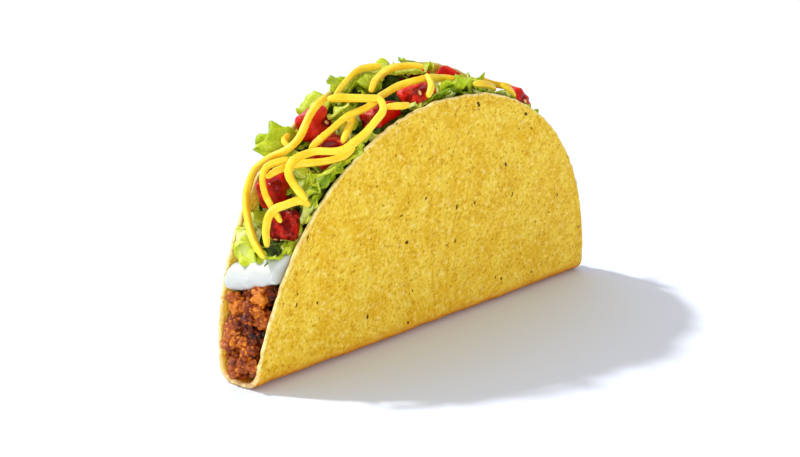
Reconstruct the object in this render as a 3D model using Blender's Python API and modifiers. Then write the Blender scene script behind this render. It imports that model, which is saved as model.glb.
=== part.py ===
"""A hard-shell taco that stands on its fold.

A round corn tortilla, fried folded, holds crumbled beef, a band of sour cream and a heap of shredded
lettuce, with diced tomato pressed into the lettuce and grated cheese laid over the top.

+X runs along the fold, +Y from the low wall to the tall wall, +Z up. The origin is the middle of the
flat strip that the shell stands on. Lengths are metres.
"""

import math

import bmesh
import bpy
import numpy as np
from mathutils import Matrix, Vector, noise
from mathutils.bvhtree import BVHTree

MM = 0.001

# The tortilla, flat: an almost round sheet, folded a little off its middle.
HALF_LENGTH = 75 * MM  # along the fold
HALF_SPAN = 80 * MM  # across the fold, measured round the outside
OUTLINE_POWER = 2.13  # 2 is an ellipse, more is squarer
FOLD_OFFSET = 3.4 * MM  # makes the far wall this much taller, and the near one this much lower
SHELL_THICKNESS = 2 * MM

# The fold: a flat strip, two tight corners, and walls that lean out and straighten up as they rise.
FLAT_HALF_WIDTH = 2.6 * MM
CORNER_RADIUS = 5.1 * MM
LEAN = math.radians(7)
BOW_LENGTH = 70 * MM
NEAR, FAR = -1, 1
BOW = {NEAR: math.radians(4), FAR: math.radians(7.5)}
SHELL_COLUMNS, CORNER_STEPS, WALL_STEPS = 22, 4, 13  # faces along the fold, in each corner, up each wall
WALL_SAMPLES = 400  # for looking a wall up by its height

GAP = 0.3 * MM  # left between solids that touch
LAYER_GAP = 0.45 * MM  # left between layers, whose faces are flat between their uneven points
WELD = 0.05 * MM

# The filling, from the bottom up.
BEEF_TOP = 25.7 * MM
BEEF_LUMP = 1.4 * MM  # how uneven its open ends are
BEEF_END_INSET = 0.4  # how far its ends lie in on average, as a share of that
CREAM_TOP = 34 * MM
CREAM_BULGE = 1.4 * MM  # how far the cream's open ends stand out
LAYER_WAVE = 1.3 * MM  # unevenness of the beef's and the cream's tops
LAYER_TILT = 2.3 * MM  # how much higher the layers are at the near wall, and lower at the far wall
END_RECESS = 1.2 * MM  # how far the filling stops short of the shell's open ends
HEAP_REACH = {-1: 68 * MM, 1: 63 * MM}  # how far the lettuce reaches towards -X and +X
HEAP_CROWN = 0.3 * MM  # how far the lettuce rises above a line from rim to rim
HEAP_LUMP = 1.5 * MM
HEAP_DIP = 4 * MM  # how far it sinks beside the far wall, at this place along the taco
HEAP_DIP_AT = 24 * MM
HEAP_DIP_REACH = 15 * MM
LEAST_HEAP = 2.5 * MM
WAVE_LENGTH, LUMP_LENGTH, END_LUMP_LENGTH = 22 * MM, 8 * MM, 5 * MM
HEAP_SEED, CREAM_SEED, BEEF_END_SEED = 3, 7, 11  # each surface's own unevenness
END_SHARPNESS = 8  # the power that keeps what happens at a layer's ends to its ends
ACROSS = 8 * MM  # half the filling's width, roughly, for laying the unevenness out
LAYER_CUTS = {"beef": (30, 5, 6), "sour_cream": (30, 5, 3), "lettuce": (34, 5, 4)}  # along X, Y and Z

# Diced tomato: angle round the heap from straight up (degrees, minus is the -X end), place across (mm),
# how far the middle stands out of the lettuce (mm), size (mm), and turn (degrees about X, Y and Z).
TOMATO_DICE = [
    (-48, 3, 0.5, (9, 8, 9), (15, 20, 20)),
    (-54.5, -4, -1.5, (8.5, 8, 8), (20, -10, 15)),
    (-31, 5, 0, (9, 7, 8), (-10, 15, 10)),
    (-35, -3, -1.5, (9, 8, 8), (10, 25, -15)),
    (-19, -4.5, -4, (11, 8, 9), (-5, 10, 5)),
    (-7, -5, -3, (11, 8, 9), (10, -5, -5)),
    (13, 3.5, -2, (9, 8, 8), (20, 10, 20)),
    (38.5, 1.5, -1, (9, 9, 8), (-20, 15, 25)),
    (31, -5, -0.5, (9, 7, 8), (10, 25, -10)),
    (54.5, 3.5, -2.5, (8, 7, 8), (15, 0, 10)),
    (49, -5, -3, (9, 7, 8), (-10, -15, 10)),
    (1, 4, -3, (9, 7, 8), (10, -20, -10)),
]
DICE_BEVEL = 1.2 * MM

# Grated cheese, from the lowest shred to the highest: each one's route over the heap, as places
# (angle from straight up in degrees, place across in mm).
CHEESE_ROUTES = [
    [(-23.5, 5), (-18, 7.5), (-11, 9.5), (-7, 7.5)],
    [(-17.5, -1), (-12.5, 2.5), (-7.5, 4.5), (-3, 3.5), (0.5, 0)],
    [(-36, 8), (-38, 7.5), (-39.5, 3.5)],
    [(-25.5, -3.5), (-31, -7.5), (-34, -8.5)],
    [(-20, -9), (-18, -11), (-15, -12)],
    [(9.5, -9.5), (14.5, -9), (18.5, -7.5), (21.5, -5.5)],
    [(19, -10.3), (22.5, -10.3), (25.5, -10)],
    [(-48, 1.5), (-45.5, -0.5), (-42.5, -2.5), (-39.5, -7), (-36.5, -10.5), (-33, -11)],
    [(-62.5, -6.5), (-58.5, 2), (-54.5, 7), (-50.5, 10), (-46.5, 10), (-44, 6.5), (-38, 0.5), (-26.5, 3)],
    [(-39, -3.5), (-31, -5.5), (-22.5, -7.5), (-17, -5), (-11, -4.5), (-5, -7), (1.5, -6.5), (4.5, -10)],
    [(-43.5, -3.5), (-45.5, -1), (-47.5, 0.5), (-51.5, -2), (-55, -7)],
    [(-60.5, -8), (-57, -6), (-54, -6), (-52, -7.5), (-49.5, -8.5), (-49.5, -11)],
    [
        (-49.5, -12),
        (-47, -6.5),
        (-45, -5.5),
        (-42.5, -6),
        (-39.5, -7),
        (-36.5, -12),
        (-32, -13),
        (-27, -13),
        (-23.5, -13),
        (-22, -10),
        (-24, -7.5),
        (-28.5, -0.5),
    ],
    [(-6, -8.5), (-7.5, -12), (-10, -13)],
    [(39.5, 7), (42, 6), (46, 1), (50, -3)],
    [(56, -3), (52, 2), (46, 7), (40, 9)],
    [(48.5, 0), (49.5, 3.5), (52, 7), (56, 5)],
    [(26, 6), (30, 7), (34, 5), (37, 2)],
    [(58.5, -2.5), (60.5, 0), (61, 3)],
    [(57.5, 7.5), (54.5, 8.5), (50.5, 9)],
]
SHRED_RADIUS = 1.2 * MM
SHRED_SIDES_RESOLUTION = 1
SHRED_POINT_EVERY = 3.4 * MM
SHRED_LEAST_POINTS = 4
ROUTE_SAMPLES = 24  # between two places of a route
FOOTPRINT_LENGTH = 0.55 * SHRED_POINT_EVERY  # half the stretch that a point of a shred rests on
FOOTPRINT_WIDTH = 1.1 * SHRED_RADIUS  # and half its width
FOOTPRINT_SAMPLES = 5  # each way
SHRED_CLEARANCE = 0.45 * MM  # over what it rests on, which is measured at a few places only
SHRED_SAG = 0.25 * MM  # the most that a point hangs below the middle of its neighbours
LAY_PASSES = 400  # enough for the longest shred to settle

COLOURS = {
    "tortilla": ((0.80, 0.50, 0.09), 0.6),
    "beef": ((0.28, 0.07, 0.02), 0.45),
    "cream": ((0.90, 0.91, 0.90), 0.3),
    "lettuce": ((0.35, 0.58, 0.06), 0.4),
    "tomato": ((0.70, 0.03, 0.02), 0.2),
    "cheese": ((0.95, 0.55, 0.04), 0.4),
}


def clear_scene():
    for obj in list(bpy.data.objects):
        bpy.data.objects.remove(obj)


def new_collection(name, hidden=False):
    collection = bpy.data.collections.new(name)
    collection.hide_render = hidden
    bpy.context.scene.collection.children.link(collection)
    return collection


def new_material(name):
    colour, roughness = COLOURS[name]
    material = bpy.data.materials.new(name)
    material.use_nodes = True
    shader = material.node_tree.nodes["Principled BSDF"]
    shader.inputs["Base Color"].default_value = (*colour, 1)
    shader.inputs["Roughness"].default_value = roughness
    return material


def object_from(bm, name, material, collection, smooth_angle=40):
    """Ends a bmesh and puts it in the scene as a named object."""
    bmesh.ops.recalc_face_normals(bm, faces=bm.faces)
    mesh = bpy.data.meshes.new(name)
    bm.to_mesh(mesh)
    bm.free()
    mesh.shade_smooth()
    mesh.set_sharp_from_angle(angle=math.radians(smooth_angle))
    mesh.materials.append(material)
    obj = bpy.data.objects.new(name, mesh)
    collection.objects.link(obj)
    return obj


def lump(x, y, z, cell, seed=0.0):
    """Smooth unevenness from about -1 to 1, with bumps about one cell apart."""
    return noise.noise(Vector((x / cell + seed, y / cell, z / cell)))


# The shell's cross-section -------------------------------------------------------------------------


def section_point(round_fold, inside=0.0):
    """(y, z) of the wall at a distance measured round the outside from the fold's middle line, and this
    far inside the outer surface."""
    side = FAR if round_fold >= 0 else NEAR
    along = abs(round_fold)
    upright = math.pi / 2 - LEAN
    corner_end = FLAT_HALF_WIDTH + CORNER_RADIUS * upright
    if along <= FLAT_HALF_WIDTH:
        slope, y, z = 0.0, along, 0.0
    elif along <= corner_end:
        slope = (along - FLAT_HALF_WIDTH) / CORNER_RADIUS
        y = FLAT_HALF_WIDTH + CORNER_RADIUS * math.sin(slope)
        z = CORNER_RADIUS * (1 - math.cos(slope))
    else:
        bend = BOW[side] / BOW_LENGTH
        slope = upright + bend * (along - corner_end)
        y = FLAT_HALF_WIDTH + CORNER_RADIUS * math.sin(upright)
        y += (math.sin(slope) - math.sin(upright)) / bend
        z = CORNER_RADIUS * (1 - math.cos(upright))
        z += (math.cos(upright) - math.cos(slope)) / bend
    return side * (y - inside * math.sin(slope)), z + inside * math.cos(slope)


def outline_half_length(round_fold):
    """Half the tortilla's length along the fold, at a distance round it."""
    share = min(1.0, abs(round_fold - FOLD_OFFSET) / HALF_SPAN)
    return HALF_LENGTH * (1 - share**OUTLINE_POWER) ** (1 / OUTLINE_POWER)


def rim_distance(x, side):
    """How far round the fold the wall's edge is, at a place along it."""
    share = min(1.0, abs(x) / HALF_LENGTH)
    reach = HALF_SPAN * (1 - share**OUTLINE_POWER) ** (1 / OUTLINE_POWER)
    return FOLD_OFFSET + side * reach


def wall_table(side, inside):
    """Distances round the fold with their (y, z), for looking a wall up by its height."""
    steps = np.linspace(FLAT_HALF_WIDTH, HALF_SPAN + abs(FOLD_OFFSET), WALL_SAMPLES)
    points = np.array([section_point(side * s, inside) for s in steps])
    return side * steps, points[:, 0], points[:, 1]


INNER = {side: wall_table(side, SHELL_THICKNESS + GAP) for side in (NEAR, FAR)}


def inner_y(z, side):
    """Where the filling meets a wall, at a height."""
    _, ys, zs = INNER[side]
    return float(np.interp(z, zs, ys))


def open_end(z, across):
    """How far along X the shell reaches at a height, between the near wall (-1) and the far wall (1)."""
    reach = {}
    for side in (NEAR, FAR):
        rounds, _, zs = INNER[side]
        reach[side] = outline_half_length(float(np.interp(z, zs, rounds)))
    return reach[NEAR] + (reach[FAR] - reach[NEAR]) * (across + 1) / 2


def rim_height(x, side):
    return section_point(rim_distance(x, side), SHELL_THICKNESS)[1]


# The shell -----------------------------------------------------------------------------------------


def fold_rows():
    """Distances round the fold of the grid's rows: closest at the corners and towards the rims."""
    corner_end = FLAT_HALF_WIDTH + CORNER_RADIUS * (math.pi / 2 - LEAN)
    rows = [0.0]
    for side in (NEAR, FAR):
        rows += [side * s for s in np.linspace(FLAT_HALF_WIDTH, corner_end, CORNER_STEPS + 1)]
        tip = HALF_SPAN + side * FOLD_OFFSET
        first = math.asin(corner_end / tip)
        for step in range(1, WALL_STEPS + 1):
            turn = first + (math.pi / 2 - first) * step / WALL_STEPS
            rows.append(side * tip * math.sin(turn))
    return sorted(rows)


def make_shell(material, collection):
    """The folded tortilla: a grid in the shape of the flat disc, bent round the fold, with thickness."""
    rows = fold_rows()
    bm = bmesh.new()
    bmesh.ops.create_grid(bm, x_segments=SHELL_COLUMNS, y_segments=len(rows) - 1, size=1)
    for vert in bm.verts:
        row = round((vert.co.y + 1) / 2 * (len(rows) - 1))
        round_fold = rows[row]
        y, z = section_point(round_fold)
        vert.co = (vert.co.x * outline_half_length(round_fold), y, z)
    bmesh.ops.remove_doubles(bm, verts=bm.verts, dist=WELD)
    shell = object_from(bm, "shell", material, collection)
    thickness = shell.modifiers.new("thickness", "SOLIDIFY")
    thickness.thickness = SHELL_THICKNESS
    thickness.use_even_offset = True
    top = max(shell.data.polygons, key=lambda p: p.center.z)
    faces_out = top.normal.y * top.center.y > 0
    thickness.offset = -1 if faces_out else 1
    return shell


# The layers of filling -----------------------------------------------------------------------------


def make_block(name, shape, material, collection):
    """A closed block whose surface grid is sent through shape(u, v, w): u and v from -1 to 1 along and
    across the taco, w from 0 at the layer's bottom to 1 at its top."""
    bm = bmesh.new()
    bmesh.ops.create_cube(bm, size=2)
    for axis, count in enumerate(LAYER_CUTS[name]):
        normal = Vector((axis == 0, axis == 1, axis == 2))
        for step in range(1, count):
            bmesh.ops.bisect_plane(
                bm,
                geom=bm.verts[:] + bm.edges[:] + bm.faces[:],
                plane_co=normal * (2 * step / count - 1),
                plane_no=normal,
            )
    for vert in bm.verts:
        u, v, w = vert.co
        vert.co = shape(u, v, (w + 1) / 2)
    return object_from(bm, name, material, collection)


def across_wall(z, v):
    low, high = inner_y(z, NEAR), inner_y(z, FAR)
    return low + (high - low) * (v + 1) / 2


def wave(x, v, length, seed=0.0):
    """Unevenness of a layer's top, from about -1 to 1."""
    return lump(x, v * ACROSS, 0, length, seed)


def beef_top(x, v):
    return BEEF_TOP - LAYER_TILT * v + LAYER_WAVE * wave(x, v, WAVE_LENGTH)


def cream_top(x, v):
    return CREAM_TOP - LAYER_TILT * v + LAYER_WAVE * wave(x, v, WAVE_LENGTH, CREAM_SEED)


def heap_top(x, v):
    rims = [rim_height(x, side) for side in (NEAR, FAR)]
    level = rims[0] + (rims[1] - rims[0]) * (v + 1) / 2
    level += HEAP_CROWN * (1 - v * v) + HEAP_LUMP * wave(x, v, LUMP_LENGTH, HEAP_SEED)
    level -= HEAP_DIP * math.exp(-(((x - HEAP_DIP_AT) / HEAP_DIP_REACH) ** 2)) * (v + 1) / 2
    return max(level, cream_top(x, v) + LAYER_GAP + LEAST_HEAP)


def towards_end(u):
    """0 along most of a layer's length, rising to 1 or -1 at its ends."""
    return math.copysign(u**END_SHARPNESS, u)


def beef_shape(u, v, w):
    floor = SHELL_THICKNESS + GAP
    reach = open_end(floor + w * (BEEF_TOP - floor), v) - END_RECESS
    x = u * reach
    z = floor + w * (beef_top(x, v) - floor)
    y = across_wall(z, v)
    unevenness = BEEF_END_INSET + lump(x, y, z, END_LUMP_LENGTH, BEEF_END_SEED)
    x -= towards_end(u) * BEEF_LUMP * unevenness
    return x, y, z


def cream_shape(u, v, w):
    reach = open_end(BEEF_TOP + w * (CREAM_TOP - BEEF_TOP), v) - END_RECESS
    x = u * reach + towards_end(u) * CREAM_BULGE * math.sin(math.pi * w)
    bottom = beef_top(x, v) + LAYER_GAP
    z = bottom + w * (cream_top(x, v) - bottom)
    return x, across_wall(z, v), z


def heap_shape(u, v, w):
    x = HEAP_REACH[1 if u > 0 else -1] * math.sin(u * math.pi / 2)
    bottom = cream_top(x, v) + LAYER_GAP
    z = bottom + w * (heap_top(x, v) - bottom)
    return x, across_wall(z, v), z


# Toppings on the heap ------------------------------------------------------------------------------


def out_from_axis(angle):
    """Unit vector that points out of the taco's rounded top, at an angle from straight up."""
    return Vector((math.sin(angle), 0, math.cos(angle)))


def surface_tree(objects):
    """One ray-casting tree of these objects as evaluated."""
    bpy.context.view_layer.update()
    graph = bpy.context.evaluated_depsgraph_get()
    corners, faces = [], []
    for obj in objects:
        mesh = obj.evaluated_get(graph).to_mesh()
        start = len(corners)
        corners += [obj.matrix_world @ v.co for v in mesh.vertices]
        faces += [[start + i for i in p.vertices] for p in mesh.polygons]
    return BVHTree.FromPolygons(corners, faces)


def height_over(tree, angle, across):
    """Distance from the taco's axis to the outermost surface at a place on the heap."""
    out = out_from_axis(angle)
    far_point = out * (2 * HALF_SPAN) + Vector((0, across, 0))
    hit = tree.ray_cast(far_point, -out)[0]
    return 0.0 if hit is None else hit.dot(out)


def make_dice(name, spec, tree, material, collection, grow=0.0):
    """One piece of diced tomato, pressed into the heap."""
    angle, across, lift, size, turn = spec
    angle, across = math.radians(angle), across * MM
    reach = height_over(tree, angle, across) + lift * MM
    bm = bmesh.new()
    bmesh.ops.create_cube(bm, size=1)
    bmesh.ops.scale(bm, vec=[side * MM + 2 * grow for side in size], verts=bm.verts)
    bmesh.ops.bevel(bm, geom=bm.edges[:], offset=DICE_BEVEL, segments=1, affect="EDGES")
    dice = object_from(bm, name, material, collection)
    dice.location = out_from_axis(angle) * reach + Vector((0, across, 0))
    tilt = Matrix.Rotation(angle, 3, "Y")
    own = [Matrix.Rotation(math.radians(a), 3, axis) for a, axis in zip(turn, "XYZ")]
    dice.rotation_euler = (tilt @ own[2] @ own[1] @ own[0]).to_euler()
    return dice


def through(before, start, end, after, t):
    """Catmull-Rom: a value between start and end, on a smooth curve through all four."""
    bend = 2 * before - 5 * start + 4 * end - after
    twist = 3 * start - before - 3 * end + after
    return 0.5 * (2 * start + t * (end - before) + t**2 * bend + t**3 * twist)


def smooth_route(places):
    """Even points along a smooth curve through a route's places, as angles and places across."""
    knots = np.array([places[0], *places, places[-1]], float) * (math.radians(1), MM)
    steps = np.linspace(0, 1, ROUTE_SAMPLES, endpoint=False)
    dense = [through(*knots[i : i + 4], t) for i in range(len(places) - 1) for t in steps]
    dense = np.array([*dense, knots[-1]])
    strides = np.linalg.norm(np.diff(dense * (HALF_SPAN, 1), axis=0), axis=1)
    along = np.concatenate([[0], np.cumsum(strides)])
    count = max(SHRED_LEAST_POINTS, round(along[-1] / SHRED_POINT_EVERY) + 1)
    at = np.linspace(0, along[-1], count)
    return np.interp(at, along, dense[:, 0]), np.interp(at, along, dense[:, 1])


def lay_heights(tree, angles, across):
    """Distances from the axis at which a shred rests on what is below it, sagging only a little where
    it spans a gap."""
    half_turn = FOOTPRINT_LENGTH / HALF_SPAN
    spread = np.linspace(-1, 1, FOOTPRINT_SAMPLES)
    footprint = [(half_turn * a, FOOTPRINT_WIDTH * b) for a in spread for b in spread]
    below = [
        max(height_over(tree, angle + da, y + dy) for da, dy in footprint)
        for angle, y in zip(angles, across)
    ]
    lowest = np.array(below) + SHRED_RADIUS + SHRED_CLEARANCE
    height = lowest.copy()
    for _ in range(LAY_PASSES):
        height[1:-1] = np.maximum(lowest[1:-1], (height[:-2] + height[2:]) / 2 - SHRED_SAG)
    return height


def make_shred(name, route, tree, material, collection):
    """One strand of grated cheese, laid over whatever is already on the heap."""
    angles, across = smooth_route(route)
    heights = lay_heights(tree, angles, across)
    curve = bpy.data.curves.new(name, "CURVE")
    curve.dimensions = "3D"
    curve.bevel_depth = SHRED_RADIUS
    curve.bevel_resolution = SHRED_SIDES_RESOLUTION
    curve.use_fill_caps = True
    spline = curve.splines.new("POLY")
    spline.points.add(len(angles) - 1)
    for point, angle, y, height in zip(spline.points, angles, across, heights):
        point.co = (*(out_from_axis(angle) * height + Vector((0, y, 0))), 1)
    curve.materials.append(material)
    shred = bpy.data.objects.new(name, curve)
    collection.objects.link(shred)
    return shred


def make_taco():
    taco = new_collection("taco")
    cutters = new_collection("cutters", hidden=True)
    materials = {name: new_material(name) for name in COLOURS}

    shell = make_shell(materials["tortilla"], taco)
    make_block("beef", beef_shape, materials["beef"], taco)
    make_block("sour_cream", cream_shape, materials["cream"], taco)
    lettuce = make_block("lettuce", heap_shape, materials["lettuce"], taco)

    heap = surface_tree([lettuce])
    dice = []
    for number, spec in enumerate(TOMATO_DICE, 1):
        dice.append(make_dice(f"tomato_{number:02d}", spec, heap, materials["tomato"], taco))
        pocket = make_dice(f"pocket_{number:02d}", spec, heap, materials["tomato"], cutters, grow=GAP)
        pocket.hide_render = True
        pocket.display_type = "WIRE"
    pockets = lettuce.modifiers.new("pockets", "BOOLEAN")
    pockets.operation = "DIFFERENCE"
    pockets.operand_type = "COLLECTION"
    pockets.collection = cutters

    below = [shell, lettuce, *dice]
    for number, route in enumerate(CHEESE_ROUTES, 1):
        shred = make_shred(f"cheese_{number:02d}", route, surface_tree(below), materials["cheese"], taco)
        below.append(shred)


clear_scene()
make_taco()
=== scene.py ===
"""The looks of a hard-shell taco: crisp corn shell, crumbled beef, sour cream, shredded lettuce, diced
tomato and grated cheese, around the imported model. +X runs along the fold, +Y from the low wall to the
tall wall. Lengths are metres."""

import math
import random

import bmesh
import bpy
import numpy as np
from mathutils import Matrix, Vector, noise
from mathutils.bvhtree import BVHTree


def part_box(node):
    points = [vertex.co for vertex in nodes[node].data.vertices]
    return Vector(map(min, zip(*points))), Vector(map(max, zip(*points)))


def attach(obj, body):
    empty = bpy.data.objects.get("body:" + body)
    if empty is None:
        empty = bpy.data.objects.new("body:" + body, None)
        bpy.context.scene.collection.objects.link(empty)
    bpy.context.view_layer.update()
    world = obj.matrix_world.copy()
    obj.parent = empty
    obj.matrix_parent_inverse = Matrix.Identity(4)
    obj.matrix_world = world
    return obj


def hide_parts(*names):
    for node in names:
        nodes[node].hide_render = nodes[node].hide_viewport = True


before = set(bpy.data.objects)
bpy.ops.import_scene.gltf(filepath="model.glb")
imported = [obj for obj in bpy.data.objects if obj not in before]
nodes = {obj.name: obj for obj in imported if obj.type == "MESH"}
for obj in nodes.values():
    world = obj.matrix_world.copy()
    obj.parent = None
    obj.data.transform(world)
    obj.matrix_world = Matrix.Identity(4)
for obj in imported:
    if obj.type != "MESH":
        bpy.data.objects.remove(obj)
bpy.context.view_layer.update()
scene = bpy.context.scene
MM = 0.001


# The camera, the studio light and the floor -----------------------------------
# The taco is seen from a little above its open end, on a pale floor. A soft key light stands high
# behind it, an even sky fills the shadows, and a small lamp in front lights the low wall.

VIEW_AZIMUTH, VIEW_ELEVATION = math.radians(47.9), math.radians(15.6)
VIEW_DISTANCE = 420 * MM
VIEW_LENS, SENSOR = 63.72, 36.0
LOOK_AT = Vector((-9.8, 0, 30.8)) * MM
KEY_AZIMUTH, KEY_ELEVATION = math.radians(-20), math.radians(49)
KEY_STRENGTH, KEY_SOFTNESS = 2.4, math.radians(4)
FRONT_AT, FRONT_SIZE, FRONT_POWER = Vector((-0.75, -0.90, 0.22)), 0.3, 6.2
FILL_BEHIND, FILL_IN_FRONT, FILL_BLEND = 1.0, 0.40, 0.6


def from_sky(azimuth, elevation):
    """Unit vector out of the taco: azimuth 0 is straight behind it, and 90 degrees over its +X end."""
    flat = math.cos(elevation)
    return Vector((math.sin(azimuth) * flat, math.cos(azimuth) * flat, math.sin(elevation)))


def lamp(name, kind, power, towards):
    """A light that shines on the taco from this direction."""
    made = bpy.data.objects.new(name, bpy.data.lights.new(name, kind))
    made.data.energy = power
    made.rotation_euler = towards.to_track_quat("Z", "Y").to_euler()
    scene.collection.objects.link(made)
    return made


lens = bpy.data.cameras.new("camera")
lens.lens = VIEW_LENS
lens.sensor_width = SENSOR
camera = bpy.data.objects.new("camera", lens)
towards_view = from_sky(VIEW_AZIMUTH + math.pi, VIEW_ELEVATION)
camera.location = LOOK_AT + towards_view * VIEW_DISTANCE
camera.rotation_euler = (-towards_view).to_track_quat("-Z", "Y").to_euler()
scene.collection.objects.link(camera)
scene.camera = camera
scene.view_settings.view_transform = "Standard"

key = lamp("key", "SUN", KEY_STRENGTH, from_sky(KEY_AZIMUTH, KEY_ELEVATION))
key.data.angle = KEY_SOFTNESS
front = lamp("front", "AREA", FRONT_POWER, FRONT_AT)
front.data.size = FRONT_SIZE
front.location = FRONT_AT

FLOOR_REACH = 3.0
bpy.ops.mesh.primitive_plane_add(size=2 * FLOOR_REACH)
floor = bpy.context.object
floor.name = "floor"


class Socket:
    """An output of a material's nodes. Arithmetic on it adds Math nodes, and node() adds any other."""

    def __init__(self, tree, out=None):
        self.tree = tree
        self.out = out

    def node(self, kind, settings=None, sockets=None, out=0):
        """One node: its settings first, then the values or links of its sockets. Gives one output."""
        made = self.tree.nodes.new("ShaderNode" + kind)
        for name, value in (settings or {}).items():
            if name == "stops":
                for _ in range(len(value) - 2):
                    made.color_ramp.elements.new(0.5)
                for element, (place, colour) in zip(made.color_ramp.elements, value):
                    element.position = place
                    element.color = (*colour, 1)
            else:
                setattr(made, name, value)
        for name, value in (sockets or {}).items():
            if isinstance(value, Socket):
                self.tree.links.new(value.out, made.inputs[name])
            else:
                made.inputs[name].default_value = value
        return Socket(self.tree, made.outputs[out])

    def maths(self, operation, *values):
        return self.node("Math", {"operation": operation}, dict(enumerate(values)))

    def __add__(self, other):
        return self.maths("ADD", self, other)

    def __sub__(self, other):
        return self.maths("SUBTRACT", self, other)

    def __rsub__(self, other):
        return self.maths("SUBTRACT", other, self)

    def __mul__(self, other):
        return self.maths("MULTIPLY", self, other)

    __radd__, __rmul__ = __add__, __mul__

    def step(self, low, high):
        """0 below low, 1 above high, with a soft step between; the other way round if low is above."""
        values = {"Value": self, "From Min": low, "From Max": high}
        return self.node("MapRange", {"interpolation_type": "SMOOTHSTEP"}, values)

    def tint(self, under, over):
        """The colour under where this is 0, and over where it is 1."""
        colours = [c if isinstance(c, Socket) else (*c, 1) for c in (under, over)]
        return self.node("Mix", {"data_type": "RGBA"}, {0: self, 6: colours[0], 7: colours[1]}, out=2)

    def grain(self, size, detail=3.0, roughness=0.6, stretch=(1, 1, 1)):
        """Noise from 0 to 1 over this vector, with features of about one size, in metres."""
        values = {"Vector": self.stretched(stretch), "Scale": 1 / size}
        values |= {"Detail": detail, "Roughness": roughness}
        return self.node("TexNoise", {}, values)

    def cells(self, size, feature="F1", out="Distance", stretch=(1, 1, 1)):
        """Distance over this vector from scattered points about one size apart, or each one's colour."""
        values = {"Vector": self.stretched(stretch), "Scale": 1 / size}
        return self.node("TexVoronoi", {"feature": feature}, values, out=out)

    def stretched(self, stretch):
        """This vector divided by one number each way, which stretches a pattern by it."""
        if stretch == (1, 1, 1):
            return self
        return self.node("VectorMath", {"operation": "DIVIDE"}, {0: self, 1: stretch})


class Finish:
    """A new material. place is a point of the piece, and shader is the Principled BSDF."""

    def __init__(self, name, **values):
        self.material = bpy.data.materials.new(name)
        self.material.use_nodes = True
        self.tree = self.material.node_tree
        self.shader = self.tree.nodes["Principled BSDF"]
        self.place = Socket(self.tree).node("TexCoord", out="Object")
        for socket, value in values.items():
            self.set(socket.replace("_", " "), value)

    def set(self, socket, value):
        if isinstance(value, Socket):
            self.tree.links.new(value.out, self.shader.inputs[socket])
        else:
            self.shader.inputs[socket].default_value = value

    def stored(self, attribute, out="Fac"):
        """What the mesh stores at its points under this name."""
        return self.place.node("Attribute", {"attribute_name": attribute}, out=out)

    def relief(self, height, depth):
        """Bumps this many metres deep where the height is 1."""
        self.set("Normal", self.place.node("Bump", {}, {"Height": height, "Distance": depth}))


world = bpy.data.worlds.new("studio")
world.use_nodes = True
sky = Socket(world.node_tree).node("TexCoord")
behind = sky.node("SeparateXYZ", {}, {0: sky}, out=1).step(-FILL_BLEND, FILL_BLEND)
light = behind.tint((FILL_IN_FRONT,) * 3, (FILL_BEHIND,) * 3)
world.node_tree.links.new(light.out, world.node_tree.nodes["Background"].inputs["Color"])
scene.world = world

paint = Finish("floor paint", Base_Color=(0.77, 0.83, 0.97, 1), Roughness=0.9)
floor.data.materials.append(paint.material)


# The shell --------------------------------------------------------------------
# One thin corn tortilla, almost round, fried folded over a former until crisp. Its face is grainy with
# coarse ground corn and pitted where steam broke out, and its cut rim is paler and a little ragged.

HALF_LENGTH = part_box("shell")[1].x
HALF_SPAN = 80 * MM  # across the fold, measured round the outside
OUTLINE_POWER = 2.13  # 2 is an oval, and more is squarer
FOLD_OFFSET = 3.4 * MM  # it is folded this far off its middle, which makes the far wall taller
THICKNESS = 2 * MM
FLAT_HALF_WIDTH = 2.6 * MM
CORNER_RADIUS = 5.1 * MM
LEAN = math.radians(7)  # how far the walls lean apart above the fold
NEAR, FAR = -1, 1
BOW_LENGTH = 70 * MM
BOW = {NEAR: math.radians(4), FAR: math.radians(7.5)}  # how far each bends back in over that length


def section_point(round_fold, inside=0.0):
    """The wall's (y, z), this far round the outside from the fold's middle line and this far inside it."""
    side = FAR if round_fold >= 0 else NEAR
    along = abs(round_fold)
    upright = math.pi / 2 - LEAN
    corner_end = FLAT_HALF_WIDTH + CORNER_RADIUS * upright
    if along <= FLAT_HALF_WIDTH:
        slope, y, z = 0.0, along, 0.0
    elif along <= corner_end:
        slope = (along - FLAT_HALF_WIDTH) / CORNER_RADIUS
        y = FLAT_HALF_WIDTH + CORNER_RADIUS * math.sin(slope)
        z = CORNER_RADIUS * (1 - math.cos(slope))
    else:
        bend = BOW[side] / BOW_LENGTH
        slope = upright + bend * (along - corner_end)
        y = FLAT_HALF_WIDTH + CORNER_RADIUS * math.sin(upright)
        y += (math.sin(slope) - math.sin(upright)) / bend
        z = CORNER_RADIUS * (1 - math.cos(upright))
        z += (math.cos(upright) - math.cos(slope)) / bend
    return side * (y - inside * math.sin(slope)), z + inside * math.cos(slope)


def rim_reach(direction):
    """How far the flat tortilla reaches from its middle, in a direction in its own plane."""
    along = abs(math.cos(direction) / HALF_LENGTH) ** OUTLINE_POWER
    across = abs(math.sin(direction) / HALF_SPAN) ** OUTLINE_POWER
    return (along + across) ** (-1 / OUTLINE_POWER)


def lump(place, size, seed=0.0):
    """Smooth unevenness from about -1 to 1, with bumps about one size apart."""
    return noise.noise(Vector(place) / size + Vector((seed, seed, seed)))


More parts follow.
